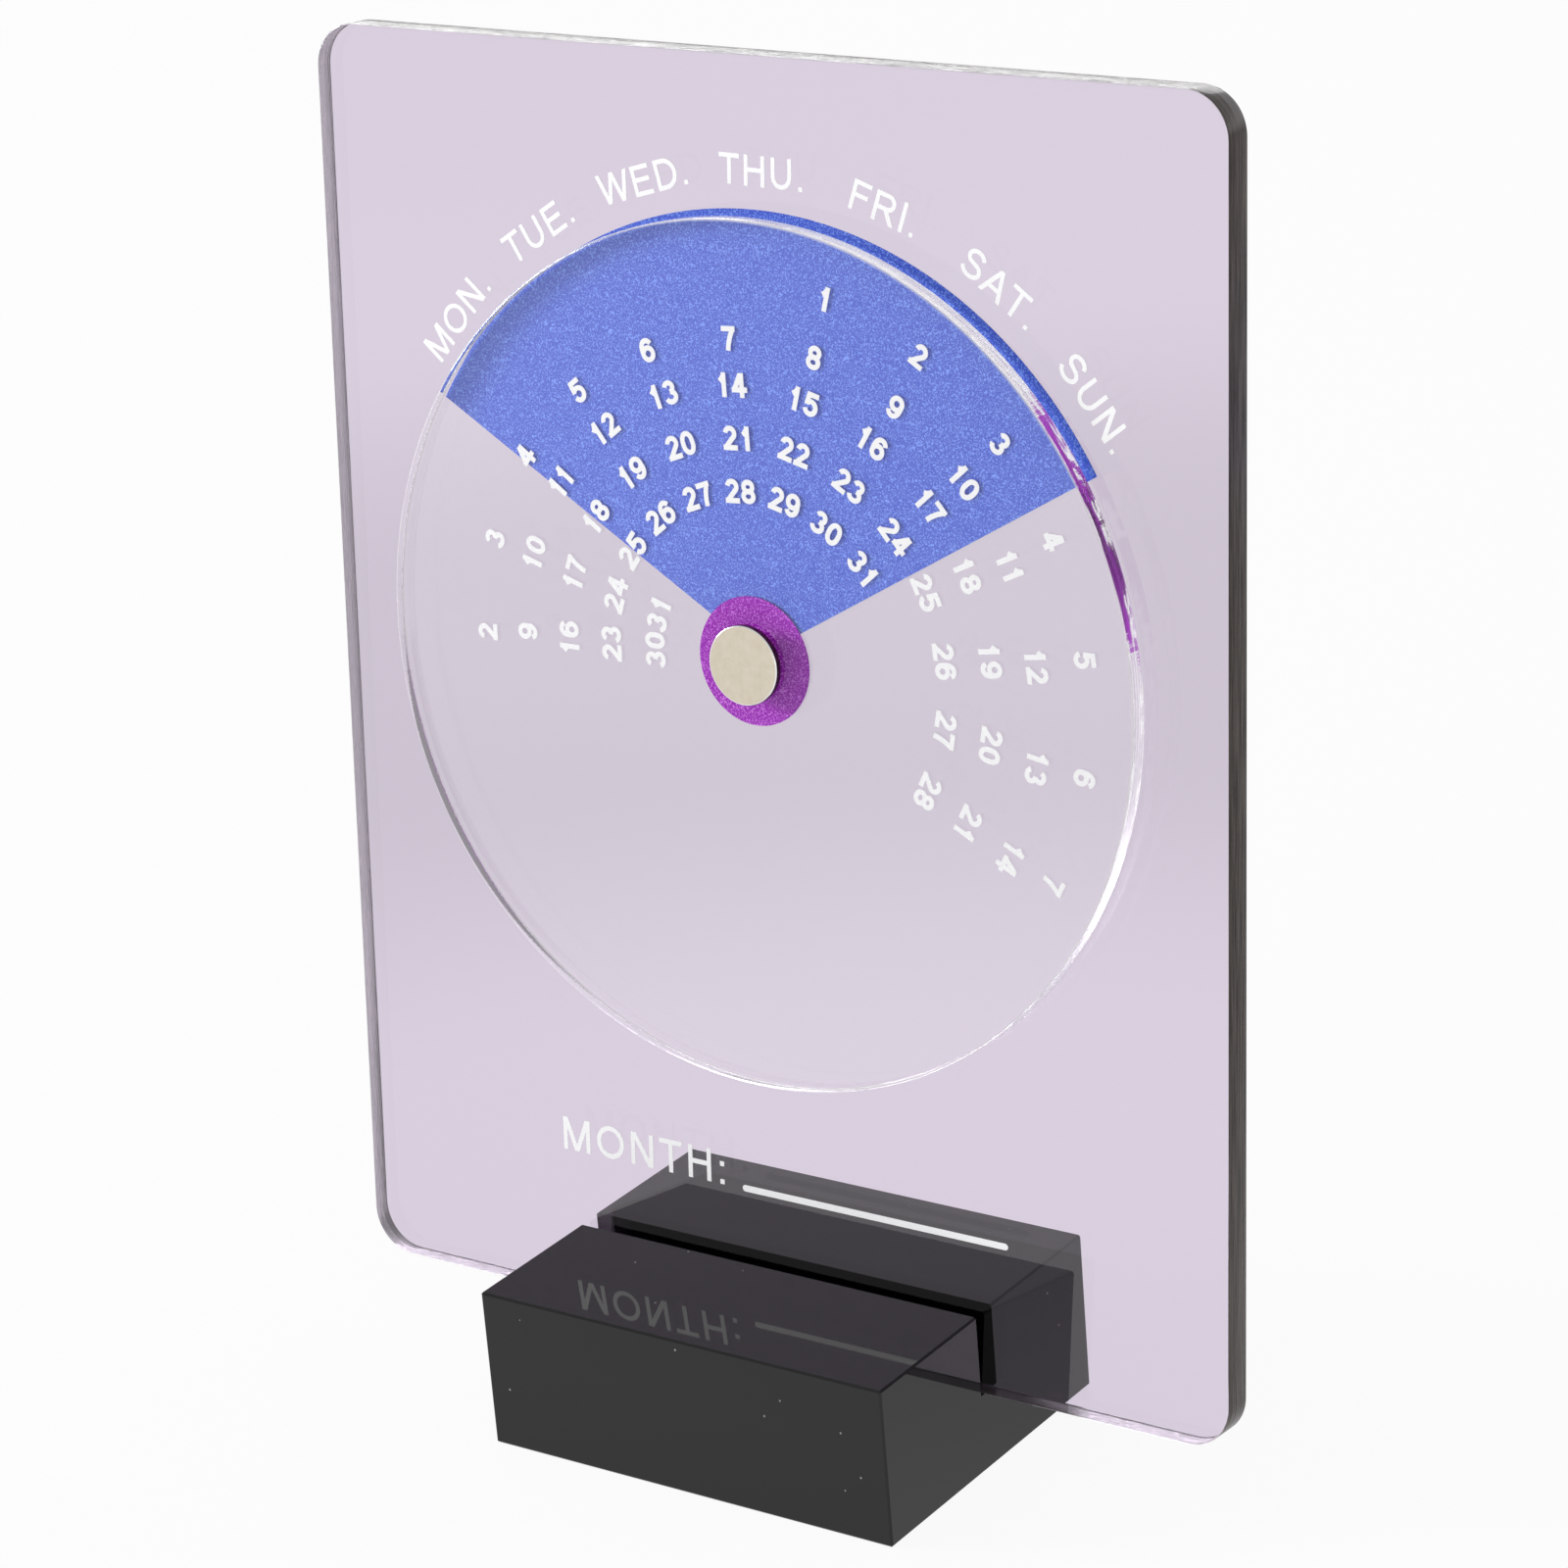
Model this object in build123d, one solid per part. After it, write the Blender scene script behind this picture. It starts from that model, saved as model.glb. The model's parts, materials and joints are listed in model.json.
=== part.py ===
from build123d import *
from math import atan, cos, degrees, radians, sin
import os

# Base block: solid bar with one straight slot across its full width
base_width = 69.5
base_depth = 55.5
base_height = 24.5
base_edge = 0.3
slot_depth = 12.5
lean_room = 1.25  # slot width beyond the panel's thickness; this room sets the lean
slot_play = 0.1  # front-to-back play left when the panel leans home
seat_gap = 0.05  # panel's lower edge above the slot floor

# Panel: clear sheet standing in the slot
panel_width = 150.0
panel_height = 188.0
panel_thickness = 5.0
panel_corner = 6.5

# Date disc: clear disc turning in front of the panel
disc_diameter = 125.0
disc_thickness = 3.0
disc_height = 103.4  # hub axis above the panel's lower edge

# Prints: a fan on the panel's face and a round patch on the disc's back
ink_thickness = 0.1
print_clearance = 0.2  # air between the two prints
fan_angle = 120.0
fan_shift_right = 1.0  # the fan is printed a little right of the hub
fan_shift_up = 1.0  # and a little above it
patch_diameter = 18.6

# Hub: two-part binding post, a headed barrel and the screw behind it
head_diameter = 11.5
head_thickness = 1.0
head_round = 0.2
barrel_diameter = 5.0
barrel_wall = 1.0
running_clearance = 0.05  # disc bore around the barrel, on the radius
drill_clearance = 0.1  # panel hole around the barrel, on the radius
thread_clearance = 0.05  # screw shank in the barrel, on the radius
end_play = 0.1  # disc between the panel's print and the post's head
screw_length = 6.0
screw_end_room = 0.5  # bore left beyond the screw's tip
driver_slot_width = 1.2
driver_slot_depth = 0.6

# Sizes that follow from the ones above
slot_width = panel_thickness + lean_room
lean = degrees(atan((lean_room - slot_play) / slot_depth))
disc_back = 2 * ink_thickness + print_clearance
disc_front = disc_back + disc_thickness
fan_radius = disc_diameter / 2
disc_bore = barrel_diameter + 2 * running_clearance
panel_hole = barrel_diameter + 2 * drill_clearance
barrel_length = panel_thickness + disc_front + end_play
thread_diameter = barrel_diameter - 2 * barrel_wall
shank_diameter = thread_diameter - 2 * thread_clearance

# Alignments: bodies grown up from a face, or down from it
grow_up = (Align.CENTER, Align.CENTER, Align.MIN)
grow_down = (Align.CENTER, Align.CENTER, Align.MAX)

# The panel's own plane: origin at the middle of its lower front edge, y up the panel,
# z square out of its face. Its lower rear edge sits on the slot floor and its lower
# front edge stands by the slot's front wall, so it leans back on the rear edge of the slot.
front_edge_y = (slot_play - slot_width) / 2
front_edge_z = base_height - slot_depth + seat_gap + panel_thickness * sin(radians(lean))
panel_plane = Plane(
    origin=(0, front_edge_y, front_edge_z),
    x_dir=(1, 0, 0),
    z_dir=(0, -cos(radians(lean)), sin(radians(lean))),
)
hub = Pos(0, disc_height, 0)


def make_base_block():
    block = Box(base_width, base_depth, base_height, align=grow_up)
    block = chamfer(block.edges(), base_edge)
    slot = Box(base_width, slot_width, slot_depth, align=grow_down)
    return block - Pos(0, 0, base_height) * slot


def make_panel():
    outline = RectangleRounded(panel_width, panel_height, panel_corner)
    sheet = extrude(Pos(0, panel_height / 2) * outline, -panel_thickness)
    return sheet - hub * Cylinder(panel_hole / 2, panel_thickness, align=grow_down)


def make_fan_print():
    # A sector opening upwards, its point at the printed centre beside the hub
    half_angle = radians(fan_angle / 2)
    side = fan_radius * sin(half_angle)
    rise = fan_radius * cos(half_angle)
    left_edge = Line((0, 0), (-side, rise))
    rim = ThreePointArc((-side, rise), (0, fan_radius), (side, rise))
    right_edge = Line((side, rise), (0, 0))
    sector = make_face(left_edge + rim + right_edge)
    ink = hub * Pos(fan_shift_right, fan_shift_up) * extrude(sector, ink_thickness)
    return ink - hub * Cylinder(panel_hole / 2, ink_thickness, align=grow_up)


def make_date_disc():
    disc = Cylinder(disc_diameter / 2, disc_thickness, align=grow_up)
    bore = Cylinder(disc_bore / 2, disc_thickness, align=grow_up)
    return hub * Pos(0, 0, disc_back) * (disc - bore)


def make_hub_print():
    patch = Cylinder(patch_diameter / 2, ink_thickness, align=grow_down)
    bore = Cylinder(disc_bore / 2, ink_thickness, align=grow_down)
    return hub * Pos(0, 0, disc_back) * (patch - bore)


def make_head():
    # Flat round head with a softened outer edge, standing on z = 0
    head = Cylinder(head_diameter / 2, head_thickness, align=grow_up)
    return fillet(head.edges().sort_by(Axis.Z)[-1], head_round)


def make_hub_post():
    # Head in front of the disc, hollow barrel through disc and panel
    barrel = Cylinder(barrel_diameter / 2, barrel_length, align=grow_down)
    thread = Cylinder(thread_diameter / 2, screw_length + screw_end_room, align=grow_up)
    post = make_head() + barrel - Pos(0, 0, -barrel_length) * thread
    return hub * Pos(0, 0, disc_front + end_play) * post


def make_hub_screw():
    # Slotted head on the panel's back face, shank forward into the barrel
    head = make_head()
    notch = Box(head_diameter, driver_slot_width, driver_slot_depth, align=grow_down)
    shank = Cylinder(shank_diameter / 2, screw_length, align=grow_down)
    screw = head - Pos(0, 0, head_thickness) * notch + shank
    return hub * Pos(0, 0, -panel_thickness) * Rot(0, 180, 0) * screw


os.makedirs("parts", exist_ok=True)
on_panel = panel_plane.location
nodes = {
    "base_block": make_base_block(),
    "panel": on_panel * make_panel(),
    "fan_print": on_panel * make_fan_print(),
    "date_disc": on_panel * make_date_disc(),
    "hub_print": on_panel * make_hub_print(),
    "hub_post": on_panel * make_hub_post(),
    "hub_screw": on_panel * make_hub_screw(),
}
for name, solid in nodes.items():
    export_step(solid, f"parts/{name}.step")
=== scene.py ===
import json
import math
import bmesh
import bpy
from mathutils import Matrix, Vector, geometry

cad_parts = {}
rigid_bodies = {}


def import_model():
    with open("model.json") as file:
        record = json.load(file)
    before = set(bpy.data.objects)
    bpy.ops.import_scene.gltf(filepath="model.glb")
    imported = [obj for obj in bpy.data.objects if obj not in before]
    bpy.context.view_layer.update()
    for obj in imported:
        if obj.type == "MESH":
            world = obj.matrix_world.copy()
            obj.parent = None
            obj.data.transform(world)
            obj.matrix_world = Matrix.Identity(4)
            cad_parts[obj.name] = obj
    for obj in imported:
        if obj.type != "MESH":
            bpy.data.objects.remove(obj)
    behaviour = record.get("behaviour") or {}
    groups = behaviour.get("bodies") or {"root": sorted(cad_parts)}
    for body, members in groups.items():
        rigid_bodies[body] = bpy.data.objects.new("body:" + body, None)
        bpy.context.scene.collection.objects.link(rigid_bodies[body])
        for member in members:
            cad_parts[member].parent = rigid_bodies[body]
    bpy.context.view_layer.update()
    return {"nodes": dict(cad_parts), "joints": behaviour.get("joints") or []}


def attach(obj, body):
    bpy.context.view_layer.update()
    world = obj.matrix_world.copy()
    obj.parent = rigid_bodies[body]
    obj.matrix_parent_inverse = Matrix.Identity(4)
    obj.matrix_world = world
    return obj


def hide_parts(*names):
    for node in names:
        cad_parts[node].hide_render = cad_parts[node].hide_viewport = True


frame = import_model()
cadNodes = frame["nodes"]
print("frame loaded:", ", ".join(sorted(cadNodes)))

# Levels in mm, measured square out of the panel's front face
stack = {
    "panelBack": -5.0,
    "panelFace": 0.0,
    "fanTop": 0.1,
    "patchBack": 0.3,
    "discBack": 0.4,
    "discFront": 3.4,
    "inkBite": 0.01,  # a print keys into the sheet that carries it, so no air shows between them
}
discRadius = 62.5  # mm, and the fan's as well

# The hub's axis gives the leaning panel's own frame: x right, y up the panel, z out of its face
hubJoint = next(joint for joint in frame["joints"] if joint["name"] == "dial_turn")
outward = Vector(hubJoint["axis"]).normalized()
rightward = Vector((1, 0, 0))
upward = outward.cross(rightward)
discMiddle = (stack["discBack"] + stack["discFront"]) / 2
hubOnFace = Vector(hubJoint["pos_m"]) - outward * discMiddle * 0.001
dialPlane = Matrix((rightward, upward, outward)).transposed().to_4x4()
dialPlane = Matrix.Translation(hubOnFace) @ dialPlane @ Matrix.Scale(0.001, 4)


def linear(hexColour):
    channels = [int(hexColour[i:i + 2], 16) / 255 for i in (1, 3, 5)]
    return [value / 12.92 if value <= 0.04045 else ((value + 0.055) / 1.055) ** 2.4
            for value in channels] + [1.0]


# Inputs are given by name or number. Map Range takes 0 the value, 1 and 2 the range it comes from,
# 3 and 4 the range it goes to. Mix takes 0 the share, 2 and 3 two numbers, 6 and 7 two colours
def addNode(tree, kind, props=None, inputs=None):
    node = tree.nodes.new(kind)
    for key, value in (props or {}).items():
        setattr(node, key, value)
    for key, value in (inputs or {}).items():
        if isinstance(value, bpy.types.NodeSocket):
            tree.links.new(value, node.inputs[key])
        else:
            node.inputs[key].default_value = value
    return node


def newMaterial(name):
    material = bpy.data.materials.new(name)
    material.use_nodes = True
    material.node_tree.nodes.clear()
    return material, material.node_tree


def finishMaterial(tree, surface, volume=None):
    inputs = {"Surface": surface}
    if volume:
        inputs["Volume"] = volume
    addNode(tree, "ShaderNodeOutputMaterial", {}, inputs)


def ownCoordinate(tree, direction):
    # distance in mm along one direction of the panel's frame
    place = addNode(tree, "ShaderNodeTexCoord").outputs["Object"]
    offset = addNode(tree, "ShaderNodeVectorMath", {"operation": "SUBTRACT"}, {0: place, 1: hubOnFace})
    along = addNode(tree, "ShaderNodeVectorMath", {"operation": "DOT_PRODUCT"},
                    {0: offset.outputs[0], 1: direction * 1000})
    return along.outputs["Value"]


# How squarely a sheet's surface faces along the hub's axis, from 0 on a cut edge to 1 on a face,
# and where on that way each mask comes in or goes out
sheetFacing = {
    "edgeEnds": (0.3, 0.6),
    "cornerStarts": (0.3, 0.45),
    "cornerEnds": (0.93, 0.99),
    "frontStarts": (0.9, 0.99),
}


def sheetMasks(tree):
    # masks that are 1 on a sheet's cut edges and on its broken corners
    surface = addNode(tree, "ShaderNodeNewGeometry").outputs
    facing = addNode(tree, "ShaderNodeVectorMath", {"operation": "DOT_PRODUCT"},
                     {0: surface["True Normal"], 1: outward}).outputs["Value"]
    size = addNode(tree, "ShaderNodeMath", {"operation": "ABSOLUTE"}, {0: facing}).outputs[0]
    low, high = sheetFacing["edgeEnds"]
    edge = addNode(tree, "ShaderNodeMapRange", {}, {0: size, 1: low, 2: high, 3: 1.0, 4: 0.0})
    low, high = sheetFacing["cornerStarts"]
    turning = addNode(tree, "ShaderNodeMapRange", {}, {0: size, 1: low, 2: high})
    low, high = sheetFacing["cornerEnds"]
    level = addNode(tree, "ShaderNodeMapRange", {}, {0: size, 1: low, 2: high, 3: 1.0, 4: 0.0})
    corner = addNode(tree, "ShaderNodeMath", {"operation": "MULTIPLY"},
                     {0: turning.outputs[0], 1: level.outputs[0]})
    return edge.outputs[0], corner.outputs[0]


def frontMask(tree):
    # a mask that is 1 on a sheet's front face, met from outside
    surface = addNode(tree, "ShaderNodeNewGeometry").outputs
    facing = addNode(tree, "ShaderNodeVectorMath", {"operation": "DOT_PRODUCT"},
                     {0: surface["True Normal"], 1: outward}).outputs["Value"]
    low, high = sheetFacing["frontStarts"]
    front = addNode(tree, "ShaderNodeMapRange", {}, {0: facing, 1: low, 2: high})
    outside = addNode(tree, "ShaderNodeMath", {"operation": "SUBTRACT", "use_clamp": True},
                      {0: front.outputs[0], 1: surface["Backfacing"]})
    return outside.outputs[0]


# Clear cast acrylic, polished faces and cut edges: a bright clear face with a faint wipe haze, and edges
# that look dark along the sheet because the tint deepens with the light's path, and on the panel also by a
# painted shade
acrylic = {
    "ior": 1.49,
    "hazeSize": 45.0,  # mm across a cloud of the wipe haze
    "streakRelief": 0.3,  # mm of bump at full streak depth
    "faceShade": "#f6f6f6",  # what a polished face lets through into the shadow
}
panelAcrylic = {
    "name": "castAcrylicLavender",
    "tint": (62.0, 83.0, 52.0),  # absorption per metre in red, green and blue
    "hardCoat": 0.8,  # scratch-proof coat on the front, which mirrors more than bare acrylic
    # painted shade: the sawn edge's scattered share is coloured dark, with lighter streaks
    "paintedEdgeShade": "#3d322e",
    "shadedEdgeStreak": "#80746d",
    "streakShare": (0.35, 0.65),  # noise levels between the edge's colour and its streaks
    "edgeClear": 0.55,  # share of the light that crosses a sawn edge unscattered
    "cornerClear": 0.8,  # and the frosted corner beside it
    "edgeShade": "#808080",  # what such an edge lets through into the shadow
    "edgeRoughness": (0.06, 0.14),
    "faceRoughness": 0.012,
    "streakSpacing": 0.35,  # mm across the buffed lines that run along the edge
    "streakLength": 14.0,
    "streakDepth": 0.25,
}
discAcrylic = {
    "name": "castAcrylicClear",
    "tint": (0.5, 0.7, 0.4),
    "edgeClear": 1.0,
    "cornerClear": 0.4,
    "edgeShade": "#989898",
    "edgeRoughness": (0.048, 0.112),
    "faceRoughness": 0.008,
    "rimRadius": discRadius,  # a round rim is cut by a tool whose marks cross it
    "streakSpacing": 0.9,  # mm between those marks
    "streakLength": 30.0,
    "streakDepth": 0.07,
}


def acrylicSheet(look):
    material, tree = newMaterial(look["name"])
    edge, corner = sheetMasks(tree)
    across, along, depth = [ownCoordinate(tree, way) for way in (rightward, upward, outward)]
    if "rimRadius" in look:
        turn = addNode(tree, "ShaderNodeMath", {"operation": "ARCTAN2"}, {0: across, 1: along})
        fine = addNode(tree, "ShaderNodeMath", {"operation": "MULTIPLY"},
                       {0: turn.outputs[0], 1: look["rimRadius"]}).outputs[0]
        coarse = depth
    else:
        fine = depth
        coarse = addNode(tree, "ShaderNodeMath", {"operation": "ADD"}, {0: across, 1: along}).outputs[0]
    fineStep = addNode(tree, "ShaderNodeMath", {"operation": "DIVIDE"},
                       {0: fine, 1: look["streakSpacing"]})
    coarseStep = addNode(tree, "ShaderNodeMath", {"operation": "DIVIDE"},
                         {0: coarse, 1: look["streakLength"]})
    streakPlace = addNode(tree, "ShaderNodeCombineXYZ", {},
                          {0: fineStep.outputs[0], 1: coarseStep.outputs[0]})
    streak = addNode(tree, "ShaderNodeTexNoise", {"noise_dimensions": "2D"},
                     {"Vector": streakPlace.outputs[0], "Scale": 1.0, "Detail": 3.0, "Roughness": 0.6})
    hazePlace = addNode(tree, "ShaderNodeTexCoord").outputs["Object"]
    haze = addNode(tree, "ShaderNodeTexNoise", {},
                   {"Vector": hazePlace, "Scale": 1000 / acrylic["hazeSize"], "Detail": 2.0})
    faceHaze = addNode(tree, "ShaderNodeMath", {"operation": "MULTIPLY"},
                       {0: haze.outputs["Fac"], 1: look["faceRoughness"]})
    smoothest, roughest = look["edgeRoughness"]
    edgeHaze = addNode(tree, "ShaderNodeMapRange", {},
                       {0: streak.outputs["Fac"], 3: smoothest, 4: roughest})
    roughness = addNode(tree, "ShaderNodeMix", {"data_type": "FLOAT"},
                        {0: edge, 2: faceHaze.outputs[0], 3: edgeHaze.outputs[0]})
    depthOnEdge = addNode(tree, "ShaderNodeMath", {"operation": "MULTIPLY"},
                          {0: edge, 1: look["streakDepth"]})
    bump = addNode(tree, "ShaderNodeBump", {}, {
        "Strength": depthOnEdge.outputs[0], "Distance": acrylic["streakRelief"] / 1000,
        "Height": streak.outputs["Fac"]})
    smooth = addNode(tree, "ShaderNodeMapRange", {}, {0: edge, 3: 1.0, 4: look["edgeClear"]})
    clearness = addNode(tree, "ShaderNodeMix", {"data_type": "FLOAT"},
                        {0: corner, 2: smooth.outputs[0], 3: look["cornerClear"]})
    sheet = {
        "Base Color": linear("#ffffff"),
        "Roughness": roughness.outputs[0],
        "IOR": acrylic["ior"],
        "Transmission Weight": clearness.outputs[0],
        "Normal": bump.outputs["Normal"],
    }
    # painted shade on the sawn edges, with lighter buffed streaks in it
    if "paintedEdgeShade" in look:
        low, high = look["streakShare"]
        lines = addNode(tree, "ShaderNodeMapRange", {}, {0: streak.outputs["Fac"], 1: low, 2: high})
        sawnShade = addNode(tree, "ShaderNodeMix", {"data_type": "RGBA"},
                       {0: lines.outputs[0], 6: linear(look["paintedEdgeShade"]), 7: linear(look["shadedEdgeStreak"])})
        colour = addNode(tree, "ShaderNodeMix", {"data_type": "RGBA"},
                         {0: edge, 6: linear("#ffffff"), 7: sawnShade.outputs[2]})
        sheet["Base Color"] = colour.outputs[2]
    if "hardCoat" in look:
        coat = addNode(tree, "ShaderNodeMath", {"operation": "MULTIPLY"},
                       {0: frontMask(tree), 1: look["hardCoat"]})
        sheet["Coat Weight"] = coat.outputs[0]
    body = addNode(tree, "ShaderNodeBsdfPrincipled", {}, sheet)
    # lamplight and bounced light cross the sheet straight, so its shadow is pale and has no sparkle
    rays = addNode(tree, "ShaderNodeLightPath")
    lampRays = addNode(tree, "ShaderNodeMath", {"operation": "MAXIMUM"},
                       {0: rays.outputs["Is Shadow Ray"], 1: rays.outputs["Is Diffuse Ray"]})
    passing = addNode(tree, "ShaderNodeMix", {"data_type": "RGBA"},
                      {0: edge, 6: linear(acrylic["faceShade"]), 7: linear(look["edgeShade"])})
    clear = addNode(tree, "ShaderNodeBsdfTransparent", {}, {"Color": passing.outputs[2]})
    surface = addNode(tree, "ShaderNodeMixShader", {},
                      {0: lampRays.outputs[0], 1: body.outputs[0], 2: clear.outputs[0]})
    density = max(look["tint"])
    passed = [1 - channel / density for channel in look["tint"]] + [1.0]
    volume = addNode(tree, "ShaderNodeVolumeAbsorption", {}, {"Color": passed, "Density": density})
    finishMaterial(tree, surface.outputs[0], volume.outputs[0])
    return material


# Black cast acrylic, polished: deep black under a mirror gloss, with a few grains of dust
blockAcrylic = {
    "colour": "#080808",
    "dust": "#8f8c8a",
    "dustSpacing": 5.0,  # mm between grains
    "dustSize": 0.035,  # grain radius as a share of the spacing
    "roughness": (0.0175, 0.0525),
    "hazeSize": 20.0,  # mm across a cloud of the wipe haze
}


def blackAcrylic():
    look = blockAcrylic
    material, tree = newMaterial("castAcrylicBlack")
    place = addNode(tree, "ShaderNodeTexCoord").outputs["Object"]
    grains = addNode(tree, "ShaderNodeTexVoronoi", {"feature": "F1"},
                     {"Vector": place, "Scale": 1000 / look["dustSpacing"], "Randomness": 1.0})
    isGrain = addNode(tree, "ShaderNodeMath", {"operation": "LESS_THAN"},
                      {0: grains.outputs["Distance"], 1: look["dustSize"]})
    colour = addNode(tree, "ShaderNodeMix", {"data_type": "RGBA"},
                     {0: isGrain.outputs[0], 6: linear(look["colour"]), 7: linear(look["dust"])})
    haze = addNode(tree, "ShaderNodeTexNoise", {},
                   {"Vector": place, "Scale": 1000 / look["hazeSize"], "Detail": 3.0})
    smoothest, roughest = look["roughness"]
    roughness = addNode(tree, "ShaderNodeMapRange", {},
                        {0: haze.outputs["Fac"], 3: smoothest, 4: roughest})
    body = addNode(tree, "ShaderNodeBsdfPrincipled", {}, {
        "Base Color": colour.outputs[2], "Roughness": roughness.outputs[0], "IOR": acrylic["ior"]})
    finishMaterial(tree, body.outputs[0])
    return material


# Cured printing ink: satin, with the fine pale grain of a print laid down in dots.
# Real dots are under 0.1 mm, and are drawn larger so that they show
curedInk = {
    "roughness": 0.45,
    "grainShare": (0.5, 0.66),  # noise levels between the ink's own colour and its pale grain
    "grainStrength": 0.15,
    "grainRelief": 0.05,  # mm of bump at full strength
}
blueInk = {
    "name": "printInkBlue",
    "colour": "#2b4ed3",
    "grain": "#7fa5ff",
    "grainSize": 0.25,  # mm
    "gloss": 0.5,
}
purpleInk = {
    "name": "printInkPurple",
    "colour": "#9c16b8",
    "grain": "#dc80f2",
    "grainSize": 0.25,
    "gloss": 0.0,  # seen through the disc that it is bonded to, so it shows no glossy skin
}
whiteInk = {
    "name": "printInkWhite",
    "colour": "#fafafc",
    "grain": "#ffffff",
    "grainSize": 0.3,
    "gloss": 0.5,
}


def printedInk(look):
    material, tree = newMaterial(look["name"])
    place = addNode(tree, "ShaderNodeTexCoord").outputs["Object"]
    dots = addNode(tree, "ShaderNodeTexNoise", {},
                   {"Vector": place, "Scale": 1000 / look["grainSize"], "Detail": 1.0, "Roughness": 0.7})
    low, high = curedInk["grainShare"]
    share = addNode(tree, "ShaderNodeMapRange", {}, {0: dots.outputs["Fac"], 1: low, 2: high})
    colour = addNode(tree, "ShaderNodeMix", {"data_type": "RGBA"},
                     {0: share.outputs[0], 6: linear(look["colour"]), 7: linear(look["grain"])})
    bump = addNode(tree, "ShaderNodeBump", {}, {
        "Strength": curedInk["grainStrength"], "Distance": curedInk["grainRelief"] / 1000,
        "Height": dots.outputs["Fac"]})
    body = addNode(tree, "ShaderNodeBsdfPrincipled", {}, {
        "Base Color": colour.outputs[2], "Roughness": curedInk["roughness"], "IOR": 1.5,
        "Specular IOR Level": look["gloss"], "Normal": bump.outputs["Normal"]})
    finishMaterial(tree, body.outputs[0])
    return material


# Nickel plate on a turned post: warm silver with a faint cloudy tarnish, a painted highlight in white on
# the head's rounded edge, and painted shade on its side wall for the dark that the wall mirrors
nickel = {
    "colour": "#f4e9d8",
    "shade": "#d8cdb7",
    # painted highlight: the head's rounded edge turns white
    "bright": "#ffffff",
    # painted shade: the side wall turns dark, standing for the dark it mirrors
    "wall": "#5a534a",
    "brightFrom": (5.5, 5.6),  # radii in mm over which the painted highlight sets in
    "wallFrom": (5.7, 5.74),  # and the wall's painted shade
    "roughness": (0.06, 0.14),
    "cloudSize": 1.8,  # mm
}


def nickelPlate():
    look = nickel
    material, tree = newMaterial("nickelPlate")
    place = addNode(tree, "ShaderNodeTexCoord").outputs["Object"]
    clouds = addNode(tree, "ShaderNodeTexNoise", {},
                     {"Vector": place, "Scale": 1000 / look["cloudSize"], "Detail": 4.0, "Roughness": 0.6})
    tarnish = addNode(tree, "ShaderNodeMix", {"data_type": "RGBA"},
                      {0: clouds.outputs["Fac"], 6: linear(look["colour"]), 7: linear(look["shade"])})
    across, along = [ownCoordinate(tree, way) for way in (rightward, upward)]
    spread = addNode(tree, "ShaderNodeCombineXYZ", {}, {0: across, 1: along})
    away = addNode(tree, "ShaderNodeVectorMath", {"operation": "LENGTH"}, {0: spread.outputs[0]})
    # painted highlight: white on the head's rounded edge
    low, high = look["brightFrom"]
    onHighlight = addNode(tree, "ShaderNodeMapRange", {}, {0: away.outputs["Value"], 1: low, 2: high})
    highlighted = addNode(tree, "ShaderNodeMix", {"data_type": "RGBA"},
                     {0: onHighlight.outputs[0], 6: tarnish.outputs[2], 7: linear(look["bright"])})
    # painted shade: dark on the head's side wall
    low, high = look["wallFrom"]
    onShadedWall = addNode(tree, "ShaderNodeMapRange", {}, {0: away.outputs["Value"], 1: low, 2: high})
    colour = addNode(tree, "ShaderNodeMix", {"data_type": "RGBA"},
                     {0: onShadedWall.outputs[0], 6: highlighted.outputs[2], 7: linear(look["wall"])})
    smoothest, roughest = look["roughness"]
    roughness = addNode(tree, "ShaderNodeMapRange", {},
                        {0: clouds.outputs["Fac"], 3: smoothest, 4: roughest})
    body = addNode(tree, "ShaderNodeBsdfPrincipled", {}, {
        "Base Color": colour.outputs[2], "Roughness": roughness.outputs[0], "Metallic": 1.0})
    finishMaterial(tree, body.outputs[0])
    return material


finishes = {
    "panel": acrylicSheet(panelAcrylic),
    "disc": acrylicSheet(discAcrylic),
    "block": blackAcrylic(),
    "blue": printedInk(blueInk),
    "purple": printedInk(purpleInk),
    "white": printedInk(whiteInk),
    "nickel": nickelPlate(),
}
print("finishes made:", len(finishes))


def arc(cx, cy, rx, ry, start, stop, steps):
    angles = [math.radians(start + (stop - start) * i / steps) for i in range(steps + 1)]
    return [(cx + rx * math.cos(angle), cy + ry * math.sin(angle)) for angle in angles]


def ring(radius, steps):
    return arc(0, 0, radius, radius, 0, 360, steps)[:-1]


meshFinish = {
    "mergeWithin": 1e-7,  # metres
    "sharpAngle": 30.0,  # degrees
    "flatFacing": 0.9999,  # faces that look this squarely along the hub's axis mirror flat
}


def addPiece(name, mesh, material, body, replaced=None):
    mesh.transform(dialPlane)
    work = bmesh.new()
    work.from_mesh(mesh)
    bmesh.ops.remove_doubles(work, verts=work.verts, dist=meshFinish["mergeWithin"])
    bmesh.ops.recalc_face_normals(work, faces=work.faces)
    work.to_mesh(mesh)
    work.free()
    mesh.materials.clear()
    mesh.materials.append(material)
    mesh.shade_smooth()
    mesh.set_sharp_from_angle(angle=math.radians(meshFinish["sharpAngle"]))
    for face in mesh.polygons:
        if abs(face.normal.dot(outward)) > meshFinish["flatFacing"]:
            face.use_smooth = False
    piece = bpy.data.objects.new(name, mesh)
    bpy.context.scene.collection.objects.link(piece)
    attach(piece, body)
    if replaced:
        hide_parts(replaced)
    print("piece", name, "faces", len(mesh.polygons))


def plainMesh(holder):
    # an object's finished shape as a mesh of its own
    bpy.context.view_layer.update()
    finished = holder.evaluated_get(bpy.context.evaluated_depsgraph_get())
    return bpy.data.meshes.new_from_object(finished)


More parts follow.
